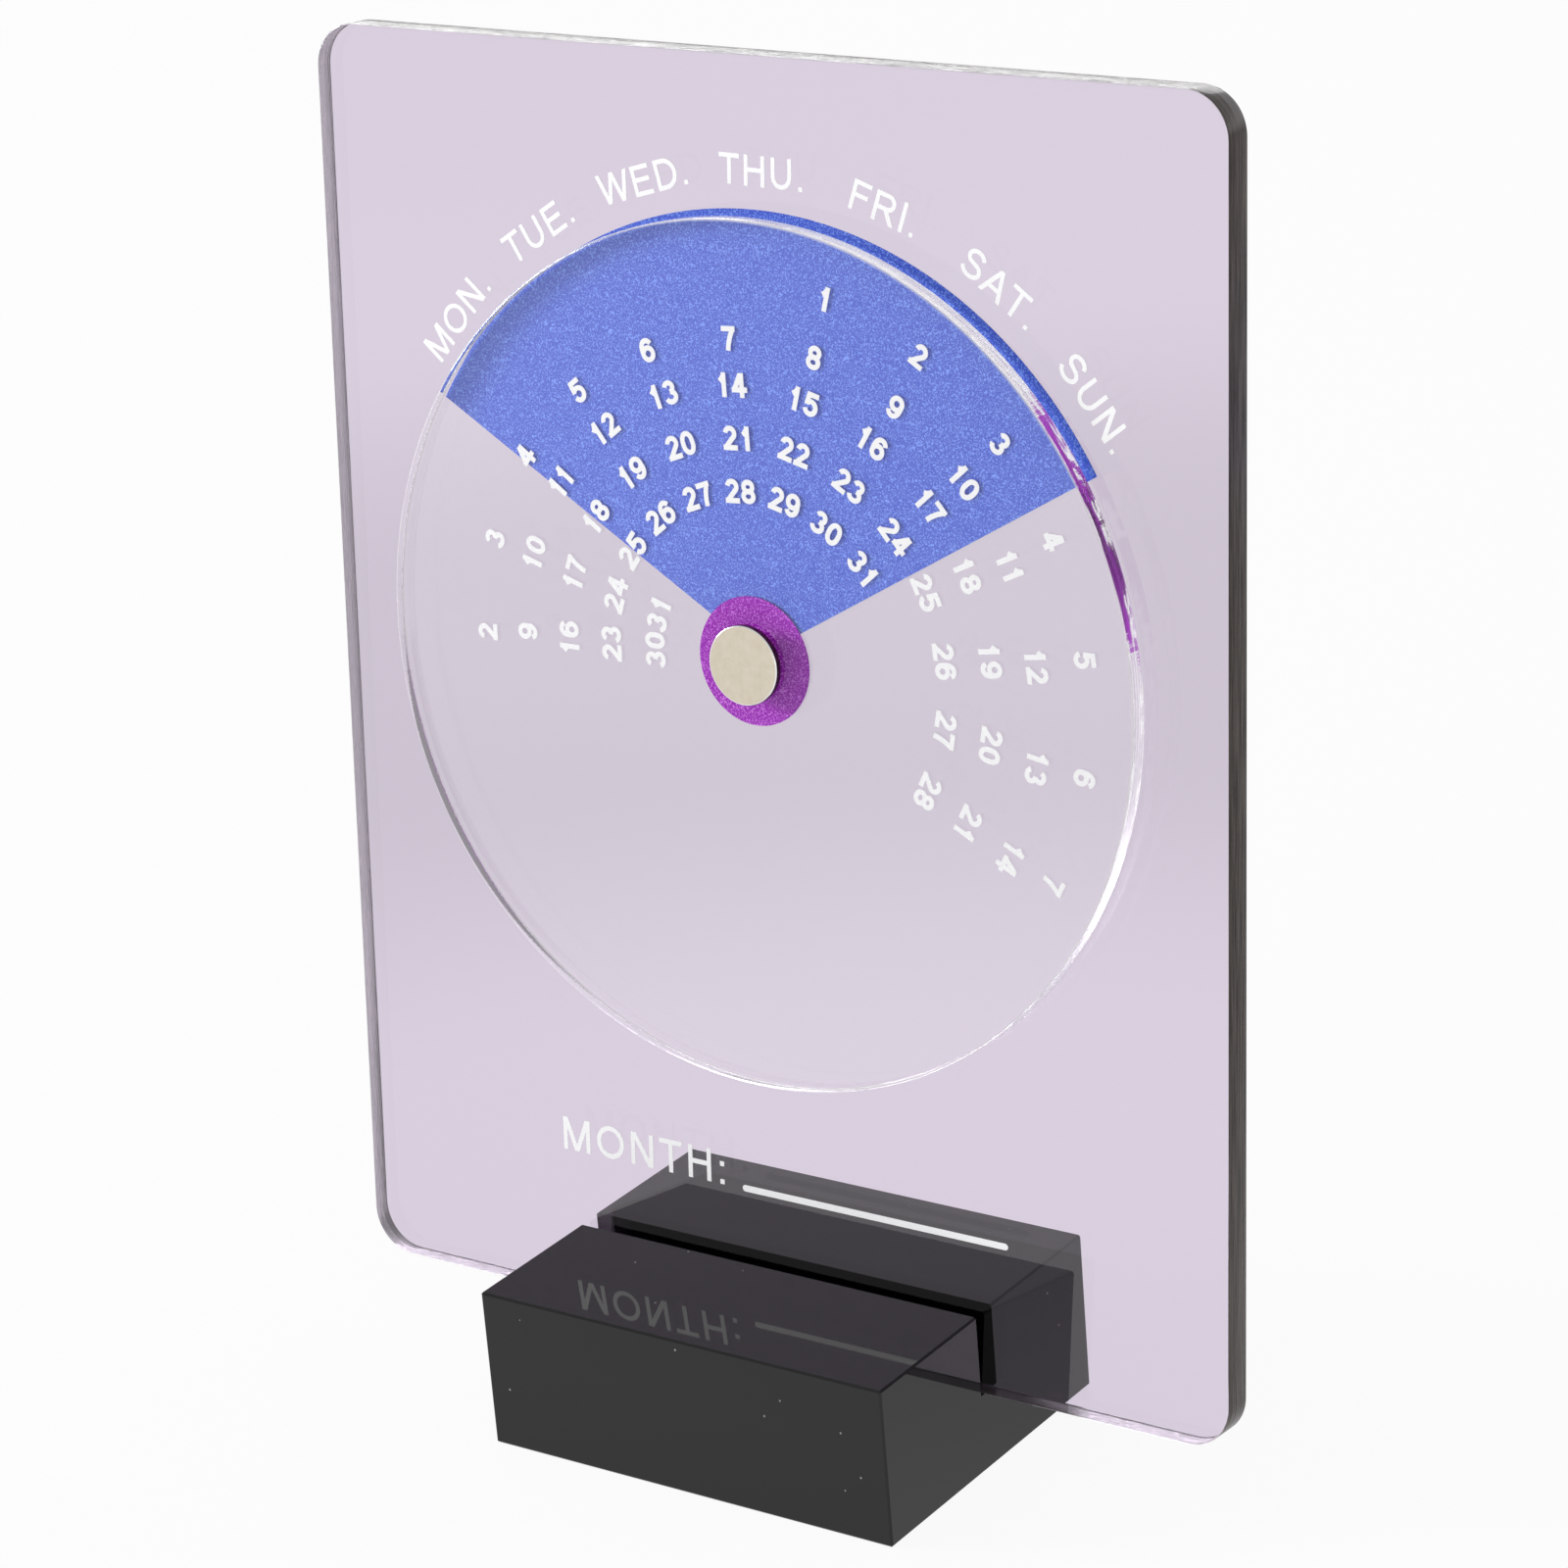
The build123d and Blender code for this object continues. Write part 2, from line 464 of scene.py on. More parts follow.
def cutFlat(name, loops, low, high, edgeRound):
    # a sheet cut to its loops, outer outline first, with its sharp edges just broken
    curve = bpy.data.curves.new(name, "CURVE")
    curve.dimensions = "2D"
    curve.fill_mode = "BOTH"
    curve.extrude = (high - low) / 2 - edgeRound
    curve.bevel_depth = edgeRound
    curve.bevel_resolution = 2
    curve.offset = -edgeRound
    for loop in loops:
        spline = curve.splines.new("POLY")
        spline.points.add(len(loop) - 1)
        for point, (x, y) in zip(spline.points, loop):
            point.co = (x, y, 0, 1)
        spline.use_cyclic_u = True
    holder = bpy.data.objects.new(name, curve)
    bpy.context.scene.collection.objects.link(holder)
    mesh = plainMesh(holder)
    bpy.data.objects.remove(holder)
    bpy.data.curves.remove(curve)
    mesh.transform(Matrix.Translation((0, 0, (low + high) / 2)))
    mesh.name = name
    return mesh


# Sheet pieces, sizes in mm from the hub's axis
panelSize = {
    "left": -75.0,
    "right": 75.0,
    "bottom": -103.4,
    "top": 84.6,
    "corner": 6.5,
    "cornerSteps": 24,
    "hole": 2.6,
    "holeSteps": 48,
    "edgeRound": 0.15,
}
discSize = {"radius": discRadius, "steps": 360, "bore": 2.55, "boreSteps": 48, "edgeRound": 0.3}
fanSize = {
    "shift": (1.0, 1.0),
    "radius": discRadius,
    "halfAngle": 60.0,
    "rimSteps": 120,
    "hole": panelSize["hole"],
    "holeSteps": 16,
    "edgeRound": 0.02,
}
patchSize = {"radius": 9.3, "steps": 128, "bore": discSize["bore"], "boreSteps": 48, "edgeRound": 0.02}


def panelOutline():
    corner = panelSize["corner"]
    left, right = panelSize["left"] + corner, panelSize["right"] - corner
    bottom, top = panelSize["bottom"] + corner, panelSize["top"] - corner
    middles = [(right, top, 0), (left, top, 90), (left, bottom, 180), (right, bottom, 270)]
    return [point for x, y, start in middles
            for point in arc(x, y, corner, corner, start, start + 90, panelSize["cornerSteps"])]


def fanOutline():
    x, y = fanSize["shift"]
    radius, hole = fanSize["radius"], fanSize["hole"]
    firstAngle, lastAngle = 90 - fanSize["halfAngle"], 90 + fanSize["halfAngle"]
    rim = arc(x, y, radius, radius, firstAngle, lastAngle, fanSize["rimSteps"])
    # the printed point lies inside the hub's hole, so the fan's two sides end on that hole
    sides = []
    for angle in (lastAngle, firstAngle):
        dx, dy = math.cos(math.radians(angle)), math.sin(math.radians(angle))
        middle = x * dx + y * dy
        reach = -middle + math.sqrt(middle * middle - x * x - y * y + hole * hole)
        sides.append((x + reach * dx, y + reach * dy))
    start, stop = [math.degrees(math.atan2(sideY, sideX)) for sideX, sideY in sides]
    return rim + arc(0, 0, hole, hole, start, stop, fanSize["holeSteps"])


panelLoops = [panelOutline(), ring(panelSize["hole"], panelSize["holeSteps"])]
panelMesh = cutFlat("panelSheet", panelLoops, stack["panelBack"], stack["panelFace"],
                    panelSize["edgeRound"])
addPiece("panelSheet", panelMesh, finishes["panel"], "panel", "panel")
discLoops = [ring(discSize["radius"], discSize["steps"]), ring(discSize["bore"], discSize["boreSteps"])]
discMesh = cutFlat("dateDisc", discLoops, stack["discBack"], stack["discFront"], discSize["edgeRound"])
addPiece("dateDisc", discMesh, finishes["disc"], "dial", "date_disc")
fanMesh = cutFlat("fanInk", [fanOutline()], stack["panelFace"] - stack["inkBite"], stack["fanTop"],
                  fanSize["edgeRound"])
addPiece("fanInk", fanMesh, finishes["blue"], "panel", "fan_print")
patchLoops = [ring(patchSize["radius"], patchSize["steps"]),
              ring(patchSize["bore"], patchSize["boreSteps"])]
patchMesh = cutFlat("hubInk", patchLoops, stack["patchBack"], stack["discBack"] + stack["inkBite"],
                    patchSize["edgeRound"])
addPiece("hubInk", patchMesh, finishes["purple"], "dial", "hub_print")

for nodeName, finish in (("base_block", "block"), ("hub_post", "nickel"), ("hub_screw", "nickel")):
    cadNodes[nodeName].data.materials.clear()
    cadNodes[nodeName].data.materials.append(finishes[finish])


def halfTurn(points):
    return [(1 - x, 1 - y) for x, y in points]


# Plain block letters as strokes in a unit box: lead, width and advance as shares of the letter's
# height, then the strokes' middle lines. Two points make a straight bar, more make a bend
zeroTop = arc(0.5, 0.60, 0.5, 0.40, 180, 0, 12)
zeroFoot = arc(0.5, 0.40, 0.5, 0.40, 0, -180, 12)
sixBowl = arc(0.5, 0.31, 0.5, 0.31, 0, 360, 20)
sixTail = arc(0.53, 0.60, 0.53, 0.40, 28, 180, 12) + [(0.0, 0.31)]
letterStrokes = {
    "0": (0.05, 0.68, 0.777, [zeroTop + zeroFoot + [(0.0, 0.60)]]),
    "1": (0.12, 0.42, 0.777, [[(0.0, 0.69), (0.5, 0.80), (1.0, 1.0)], [(1.0, 1.0), (1.0, 0.0)]]),
    "2": (0.04, 0.69, 0.777, [arc(0.49, 0.72, 0.46, 0.28, 172, -25, 14) + [(0.02, 0.02)],
                              [(0.0, 0.0), (1.0, 0.0)]]),
    "3": (0.04, 0.68, 0.777, [arc(0.48, 0.755, 0.43, 0.245, 165, -85, 14),
                              arc(0.48, 0.26, 0.52, 0.26, 88, -168, 14)]),
    "4": (0.03, 0.74, 0.777, [[(0.70, 1.0), (0.0, 0.27)], [(0.0, 0.27), (1.0, 0.27)],
                              [(0.72, 0.0), (0.72, 1.0)]]),
    "5": (0.04, 0.69, 0.777, [[(0.92, 1.0), (0.22, 1.0)], [(0.20, 1.0), (0.06, 0.46)],
                              arc(0.48, 0.325, 0.52, 0.325, 145, -168, 16)]),
    "6": (0.04, 0.69, 0.777, [sixBowl, sixTail]),
    "7": (0.05, 0.66, 0.777, [[(0.0, 1.0), (1.0, 1.0)],
                              [(0.98, 0.98), (0.66, 0.58), (0.46, 0.20), (0.38, -0.12)]]),
    "8": (0.04, 0.69, 0.777, [arc(0.5, 0.755, 0.44, 0.245, 0, 360, 20),
                              arc(0.5, 0.265, 0.5, 0.265, 0, 360, 20)]),
    "9": (0.04, 0.69, 0.777, [halfTurn(sixBowl), halfTurn(sixTail)]),
    "A": (0.00, 0.93, 0.932, [[(0.0, 0.0), (0.5, 1.0)], [(1.0, 0.0), (0.5, 1.0)],
                              [(0.26, 0.31), (0.74, 0.31)]]),
    "D": (0.11, 0.84, 1.008, [[(0.0, 0.0), (0.0, 1.0)], [(0.0, 1.0), (0.40, 1.0)]
                              + arc(0.40, 0.5, 0.60, 0.5, 85, -85, 14) + [(0.40, 0.0), (0.0, 0.0)]]),
    "E": (0.11, 0.75, 0.932, [[(0.0, 0.0), (0.0, 1.0)], [(0.0, 1.0), (0.96, 1.0)],
                              [(0.0, 0.53), (0.90, 0.53)], [(0.0, 0.0), (1.0, 0.0)]]),
    "F": (0.11, 0.69, 0.853, [[(0.0, 0.0), (0.0, 1.0)], [(0.0, 1.0), (1.0, 1.0)],
                              [(0.0, 0.52), (0.88, 0.52)]]),
    "H": (0.11, 0.79, 1.008, [[(0.0, 0.0), (0.0, 1.0)], [(1.0, 0.0), (1.0, 1.0)],
                              [(0.0, 0.53), (1.0, 0.53)]]),
    "I": (0.13, 0.13, 0.388, [[(0.5, 0.0), (0.5, 1.0)]]),
    "M": (0.10, 0.96, 1.163, [[(0.0, 0.0), (0.0, 1.0)], [(0.02, 1.0), (0.5, 0.0)],
                              [(0.98, 1.0), (0.5, 0.0)], [(1.0, 1.0), (1.0, 0.0)]]),
    "N": (0.11, 0.79, 1.008, [[(0.0, 0.0), (0.0, 1.0)], [(0.0, 1.0), (1.0, 0.0)],
                              [(1.0, 0.0), (1.0, 1.0)]]),
    "O": (0.06, 0.97, 1.087, [arc(0.5, 0.5, 0.5, 0.5, 0, 360, 28)]),
    "R": (0.11, 0.87, 1.008, [[(0.0, 0.0), (0.0, 1.0)], [(0.0, 1.0), (0.55, 1.0)]
                              + arc(0.58, 0.745, 0.31, 0.255, 85, -85, 10) + [(0.55, 0.49), (0.0, 0.49)],
                              [(0.50, 0.49), (1.0, 0.0)]]),
    "S": (0.06, 0.80, 0.932, [arc(0.49, 0.745, 0.43, 0.255, 15, 230, 14)
                              + arc(0.5, 0.265, 0.5, 0.265, 60, -168, 14)]),
    "T": (0.03, 0.79, 0.853, [[(0.0, 1.0), (1.0, 1.0)], [(0.5, 1.0), (0.5, 0.0)]]),
    "U": (0.11, 0.78, 1.008, [[(0.0, 0.40), (0.0, 1.0)], [(1.0, 0.40), (1.0, 1.0)],
                              arc(0.5, 0.40, 0.5, 0.40, 180, 360, 16)]),
    "W": (0.01, 1.30, 1.318, [[(0.0, 1.0), (0.25, 0.0)], [(0.5, 1.0), (0.25, 0.0)],
                              [(0.5, 1.0), (0.75, 0.0)], [(1.0, 1.0), (0.75, 0.0)]]),
    ".": (0.13, 0.13, 0.388, [[(0.5, 0.0), (0.5, 0.001)]]),
    ":": (0.13, 0.13, 0.388, [[(0.5, 0.0), (0.5, 0.001)], [(0.5, 0.64), (0.5, 0.641)]]),
}
closerPairs = {"11": 0.10}  # letters that are set closer, as a share of the height
lettering = {
    "inkHeight": 0.05,  # mm
    "slant": 0.05,  # a bar slants where both parts of its unit direction are larger than this
    "closed": 1e-6,  # mm between the ends of a stroke that closes on itself
    "joined": 1e-5,  # mm within which corners of overlapping strokes are one
}


def strokeSides(shape, width, height, stroke):
    # the two sides of one stroke in mm, and whether it closes on itself
    half = stroke / 2
    inner = [(half + x * (width - stroke), half + y * (height - stroke)) for x, y in shape]
    if len(shape) == 2:
        (x0, y0), (x1, y1) = inner
        length = math.hypot(x1 - x0, y1 - y0)
        dx, dy = (x1 - x0) / length, (y1 - y0) / length
        if min(abs(dx), abs(dy)) > lettering["slant"]:
            # a slanting bar is cut level with the letter's top and foot
            reach = half / abs(dy)
            cuts = {0.0: 0.0, 1.0: height}
            ends = [(reach + x * (width - 2 * reach), cuts.get(y, half + y * (height - stroke)))
                    for x, y in shape]
            left = [(x - reach, y) for x, y in ends]
            right = [(x + reach, y) for x, y in ends]
            return [left, right], False
        ends = [(x0 - dx * half, y0 - dy * half), (x1 + dx * half, y1 + dy * half)]
        left = [(x - dy * half, y + dx * half) for x, y in ends]
        right = [(x + dy * half, y - dx * half) for x, y in ends]
        return [left, right], False
    closed = math.dist(inner[0], inner[-1]) < lettering["closed"]
    line = inner[:-1] if closed else inner
    left, right = [], []
    for i, (x, y) in enumerate(line):
        before = line[i - 1] if i or closed else line[i]
        after = line[(i + 1) % len(line)] if i + 1 < len(line) or closed else line[i]
        dx, dy = after[0] - before[0], after[1] - before[1]
        length = math.hypot(dx, dy)
        left.append((x - dy / length * half, y + dx / length * half))
        right.append((x + dy / length * half, y - dx / length * half))
    return [left, right], closed


def runsLeft(corners):
    # true where the corners run against the clock
    area = 0.0
    for (x0, y0), (x1, y1) in zip(corners[-1:] + corners[:-1], corners):
        area += x0 * y1 - x1 * y0
    return area > 0


def wordMesh(name, word, look):
    # flat raised letters in mm with the word's middle at the origin, and the word's width
    height, stroke = look["height"], look["stroke"]
    start = letterStrokes[word[0]][0] * height
    pen = 0.0
    placed = []
    for i, letter in enumerate(word):
        pen -= closerPairs.get(word[i - 1:i + 1], 0.0)
        placed.append((pen, letterStrokes[letter]))
        pen += letterStrokes[letter][2] + look["tracking"]
    lastPen, lastLetter = placed[-1]
    end = (lastPen + lastLetter[0] + lastLetter[1]) * height
    points = []
    patches = []
    for place, (lead, width, advance, shapes) in placed:
        shift = (place + lead) * height - (start + end) / 2
        for shape in shapes:
            (left, right), closed = strokeSides(shape, width * height, height, stroke)
            for i in range(len(left) if closed else len(left) - 1):
                following = (i + 1) % len(left)
                corners = [left[i], right[i], right[following], left[following]]
                order = range(4) if runsLeft(corners) else range(3, -1, -1)
                patches.append([len(points) + j for j in order])
                points += [Vector((shift + x, y - height / 2)) for x, y in corners]
    # overlapping strokes become one outline
    union = geometry.delaunay_2d_cdt(points, [], patches, 1, lettering["joined"])
    flat = union[0]
    faces = [face for face, source in zip(union[2], union[5]) if source]
    count = len(flat)
    half = lettering["inkHeight"] / 2
    solid = [tuple(face) for face in faces]
    solid += [tuple(corner + count for corner in reversed(face)) for face in faces]
    sides = {(face[j - 1], face[j]) for face in faces for j in range(len(face))}
    solid += [(v, u, u + count, v + count) for u, v in sides if (v, u) not in sides]
    mesh = bpy.data.meshes.new(name)
    mesh.from_pydata([(x, y, half) for x, y in flat] + [(x, y, -half) for x, y in flat], [], solid)
    return mesh, end - start


def printedRingTree():
    # words or numbers on one ring about the hub, read from outside it
    tree = bpy.data.node_groups.new("printedRing", "GeometryNodeTree")
    interface = tree.interface
    interface.new_socket("Geometry", in_out="OUTPUT", socket_type="NodeSocketGeometry")
    sockets = [("Words", "Collection"), ("Ink", "Material"), ("Columns", "Int"), ("First item", "Int"),
               ("Item total", "Int"), ("Column step", "Float"), ("Turn", "Float"), ("Radius", "Float"),
               ("Late column", "Float"), ("Late turn", "Float")]
    for label, kind in sockets:
        interface.new_socket(label, in_out="INPUT", socket_type="NodeSocket" + kind)
    given = addNode(tree, "NodeGroupInput").outputs
    points = addNode(tree, "GeometryNodePoints", {}, {"Count": given["Columns"]}).outputs[0]
    index = addNode(tree, "GeometryNodeInputIndex").outputs[0]
    # columns count from the middle one, and the late ones sit a little off the even step
    lastIndex = addNode(tree, "ShaderNodeMath", {"operation": "SUBTRACT"}, {0: given["Columns"], 1: 1.0})
    halfway = addNode(tree, "ShaderNodeMath", {"operation": "DIVIDE"}, {0: lastIndex.outputs[0], 1: 2.0})
    column = addNode(tree, "ShaderNodeMath", {"operation": "SUBTRACT"},
                     {0: index, 1: halfway.outputs[0]}).outputs[0]
    isLate = addNode(tree, "ShaderNodeMath", {"operation": "GREATER_THAN"},
                     {0: column, 1: given["Late column"]})
    lateTurn = addNode(tree, "ShaderNodeMath", {"operation": "MULTIPLY"},
                       {0: given["Late turn"], 1: isLate.outputs[0]})
    evenTurn = addNode(tree, "ShaderNodeMath", {"operation": "MULTIPLY"},
                       {0: column, 1: given["Column step"]})
    stepped = addNode(tree, "ShaderNodeMath", {"operation": "ADD"},
                      {0: evenTurn.outputs[0], 1: given["Turn"]})
    wholeTurn = addNode(tree, "ShaderNodeMath", {"operation": "ADD"},
                        {0: stepped.outputs[0], 1: lateTurn.outputs[0]})
    angle = addNode(tree, "ShaderNodeMath", {"operation": "RADIANS"}, {0: wholeTurn.outputs[0]}).outputs[0]
    sine = addNode(tree, "ShaderNodeMath", {"operation": "SINE"}, {0: angle})
    cosine = addNode(tree, "ShaderNodeMath", {"operation": "COSINE"}, {0: angle})
    toRight = addNode(tree, "ShaderNodeMath", {"operation": "MULTIPLY"},
                      {0: given["Radius"], 1: sine.outputs[0]})
    upwards = addNode(tree, "ShaderNodeMath", {"operation": "MULTIPLY"},
                      {0: given["Radius"], 1: cosine.outputs[0]})
    spot = addNode(tree, "ShaderNodeCombineXYZ", {}, {0: toRight.outputs[0], 1: upwards.outputs[0]})
    placed = addNode(tree, "GeometryNodeSetPosition", {}, {"Geometry": points, "Position": spot.outputs[0]})
    counted = addNode(tree, "ShaderNodeMath", {"operation": "ADD"}, {0: column, 1: given["First item"]})
    kept = placed.outputs[0]
    for label, value in (("item", counted.outputs[0]), ("angle", angle)):
        store = addNode(tree, "GeometryNodeStoreNamedAttribute", {"data_type": "FLOAT", "domain": "POINT"},
                        {"Geometry": kept, "Name": label, "Value": value})
        kept = store.outputs[0]
    item, tilt = [addNode(tree, "GeometryNodeInputNamedAttribute", {"data_type": "FLOAT"},
                          {"Name": label}).outputs["Attribute"] for label in ("item", "angle")]
    # columns without a word are dropped
    beyond = addNode(tree, "ShaderNodeMath", {"operation": "SUBTRACT"}, {0: given["Item total"], 1: 0.5})
    tooLow = addNode(tree, "ShaderNodeMath", {"operation": "LESS_THAN"}, {0: item, 1: -0.5})
    tooHigh = addNode(tree, "ShaderNodeMath", {"operation": "GREATER_THAN"},
                      {0: item, 1: beyond.outputs[0]})
    outside = addNode(tree, "ShaderNodeMath", {"operation": "MAXIMUM"},
                      {0: tooLow.outputs[0], 1: tooHigh.outputs[0]})
    kept = addNode(tree, "GeometryNodeDeleteGeometry", {"domain": "POINT"},
                   {"Geometry": kept, "Selection": outside.outputs[0]}).outputs[0]
    words = addNode(tree, "GeometryNodeCollectionInfo", {},
                    {"Collection": given["Words"], "Separate Children": True, "Reset Children": True})
    whole = addNode(tree, "ShaderNodeMath", {"operation": "ROUND"}, {0: item})
    backwards = addNode(tree, "ShaderNodeMath", {"operation": "MULTIPLY"}, {0: tilt, 1: -1.0})
    tilted = addNode(tree, "ShaderNodeCombineXYZ", {}, {2: backwards.outputs[0]})
    laid = addNode(tree, "GeometryNodeInstanceOnPoints", {}, {
        "Points": kept, "Instance": words.outputs[0], "Pick Instance": True,
        "Instance Index": whole.outputs[0], "Rotation": tilted.outputs[0]})
    solid = addNode(tree, "GeometryNodeRealizeInstances", {}, {"Geometry": laid.outputs[0]})
    inked = addNode(tree, "GeometryNodeSetMaterial", {},
                    {"Geometry": solid.outputs[0], "Material": given["Ink"]})
    addNode(tree, "NodeGroupOutput", {}, {0: inked.outputs[0]})
    return tree


ringTree = printedRingTree()


def printRings(name, words, look, level, body):
    shelf = bpy.data.collections.new(name + "Words")
    bpy.context.scene.collection.children.link(shelf)
    for i, word in enumerate(words):
        shelf.objects.link(bpy.data.objects.new(f"{name}{i:02d}", word))
    sheet = bmesh.new()
    for radius, shift, firstItem in look["rings"]:
        host = bpy.data.objects.new(name + "Host", bpy.data.meshes.new(name + "Host"))
        bpy.context.scene.collection.objects.link(host)
        modifier = host.modifiers.new("ring", "NODES")
        modifier.node_group = ringTree
        values = {
            "Words": shelf,
            "Ink": finishes["white"],
            "Columns": look["columns"],
            "First item": firstItem,
            "Item total": len(words),
            "Column step": look["columnStep"],
            "Turn": look["turn"],
            "Radius": radius,
            "Late column": look["lateColumn"],
            "Late turn": look["lateTurn"],
        }
        for item in ringTree.interface.items_tree:
            if item.in_out == "INPUT":
                modifier[item.identifier] = values[item.name]
        ringMesh = plainMesh(host)
        bpy.data.objects.remove(host)
        ringMesh.transform(Matrix.Translation((*shift, level)))
        sheet.from_mesh(ringMesh)
        bpy.data.meshes.remove(ringMesh)
    for holder in list(shelf.objects):
        bpy.data.objects.remove(holder)
    bpy.data.collections.remove(shelf)
    mesh = bpy.data.meshes.new(name)
    sheet.to_mesh(mesh)
    sheet.free()
    addPiece(name, mesh, finishes["white"], body)


# Levels of the lettering: its two sides at the panel's face, and its middle at the disc's back
faceInk = (stack["panelFace"] - stack["inkBite"],
           stack["panelFace"] - stack["inkBite"] + lettering["inkHeight"])
discInkMiddle = stack["discBack"] + stack["inkBite"] - lettering["inkHeight"] / 2

# Dates: thirteen columns of a month that may start on any weekday, on rings behind the clear disc.
# Each ring has its radius, its middle from the hub and the item in its middle column. Turns are in
# degrees, and columns past the late one are turned by the late turn as well
dates = {
    "last": 31,
    "height": 3.48,
    "stroke": 0.75,
    "tracking": 0.0,
    "columns": 13,
    "columnStep": 17.44,
    "turn": 14.05,
    "lateColumn": 2.5,
    "lateTurn": -1.95,
    "slot": "clear_acrylic_disc",
    "rings": [
        (54.6, (-0.15, -0.4), 0),
        (46.9, (-0.1, -1.25), 7),
        (39.55, (-0.15, -0.4), 14),
        (32.1, (-0.15, -0.4), 21),
        (24.6, (-0.15, -0.4), 28),
        (16.9, (-0.15, -0.4), 35),
    ],
}
dateWords = [wordMesh("date", str(day + 1), dates)[0] for day in range(dates["last"])]
printRings("dateInk", dateWords, dates, discInkMiddle, "dial")

# Weekdays, on an arc just outside the fan
weekdays = {
    "words": ["MON.", "TUE.", "WED.", "THU.", "FRI.", "SAT.", "SUN."],
    "height": 4.3,
    "stroke": 0.63,
    "tracking": 0.03,
    "columns": 7,
    "columnStep": 17.2,
    "turn": 0.9,
    "lateColumn": 9.0,
    "lateTurn": 0.0,
    "slot": "clear_acrylic_panel",
    "rings": [(67.8, (1.0, 1.0), 3)],
}
dayWords = [wordMesh("day", word, weekdays)[0] for word in weekdays["words"]]
printRings("weekdayInk", dayWords, weekdays, sum(faceInk) / 2, "panel")

# The month's word and its round-ended writing line, below the disc
month = {
    "word": "MONTH:",
    "height": 5.1,
    "stroke": 0.74,
    "tracking": 0.085,
    "left": -38.1,
    "baseline": -80.4,
    "columns": 1,
    "columnStep": 0.0,
    "turn": 0.0,
    "lateColumn": 1.0,
    "lateTurn": 0.0,
    "slot": "clear_acrylic_panel",
}
monthLine = {
    "left": -5.75,
    "right": 39.6,
    "height": -80.25,
    "width": 1.0,
    "endSteps": 16,
    "edgeRound": 0.01,
}
monthMesh, monthWidth = wordMesh("month", month["word"], month)
month["rings"] = [(0.0, (month["left"] + monthWidth / 2, month["baseline"] + month["height"] / 2), 0)]
printRings("monthInk", [monthMesh], month, sum(faceInk) / 2, "panel")


def monthLineOutline():
    endRound = monthLine["width"] / 2
    left, right = monthLine["left"] + endRound, monthLine["right"] - endRound
    rightEnd = arc(right, monthLine["height"], endRound, endRound, -90, 90, monthLine["endSteps"])
    leftEnd = arc(left, monthLine["height"], endRound, endRound, 90, 270, monthLine["endSteps"])
    return rightEnd + leftEnd


lineMesh = cutFlat("monthLineInk", [monthLineOutline()], *faceInk, monthLine["edgeRound"])
addPiece("monthLineInk", lineMesh, finishes["white"], "panel")

# Studio: a pale floor, a broad key from the left and a low strip behind that lights the top edges.
# Places are in metres from the object, directions are parts of a unit arrow, levels are shares of white
studio = {
    "floorSize": 12.0,
    "floorDrop": 0.0002,  # keeps the floor just clear of the block's foot
    "floor": "#f4f4f4",
    "floorGlow": 0.93,  # share of glow in the floor where it is looked at
    "floorBounce": 0.6,  # and where it only lights the object
    "mirroredFloor": (0.82, 0.36),  # seen in a gloss, in front of the object and behind it
    "mirroredFrom": (-0.05, 0.15),  # along y
    "floorRight": (0.55, 0.8),  # along x, where the far right begins on the floor
    "skyRight": (0.15, 0.3),  # and in the sky
    "rightSide": 0.36,  # the far right, seen through the acrylic
    "sky": 0.5,  # what the sky gives the object as light
    "mirroredSky": 0.55,  # the high sky, seen in a gloss, or through the acrylic far left and behind
    "skyHigh": (0.1, 0.4),  # upwards
    "skyMiddle": (-0.48, -0.42),  # along x
    "skyFront": (0.1, -0.1),  # along y
    "aim": (0.0, 0.0, 0.1),
}
# painted shade: seen through the acrylic, the floor a little behind the object is less bright
paintedFloorShade = {"start": 0.14, "full": 0.28, "end": 0.4, "over": 0.62, "depth": 0.14}
keyLight = {"place": (-1.46, -0.78, 0.474), "size": (0.5, 0.5), "power": 22.0}
backStrip = {"place": (-2.25, 3.33, 1.07), "size": (3.0, 0.5), "power": 31.0}


def seenRays(tree):
    # rays by which the background is looked at: straight on, through the acrylic, and in a gloss
    rays = addNode(tree, "ShaderNodeLightPath").outputs
    return [rays[label] for label in ("Is Camera Ray", "Is Transmission Ray", "Is Glossy Ray")]


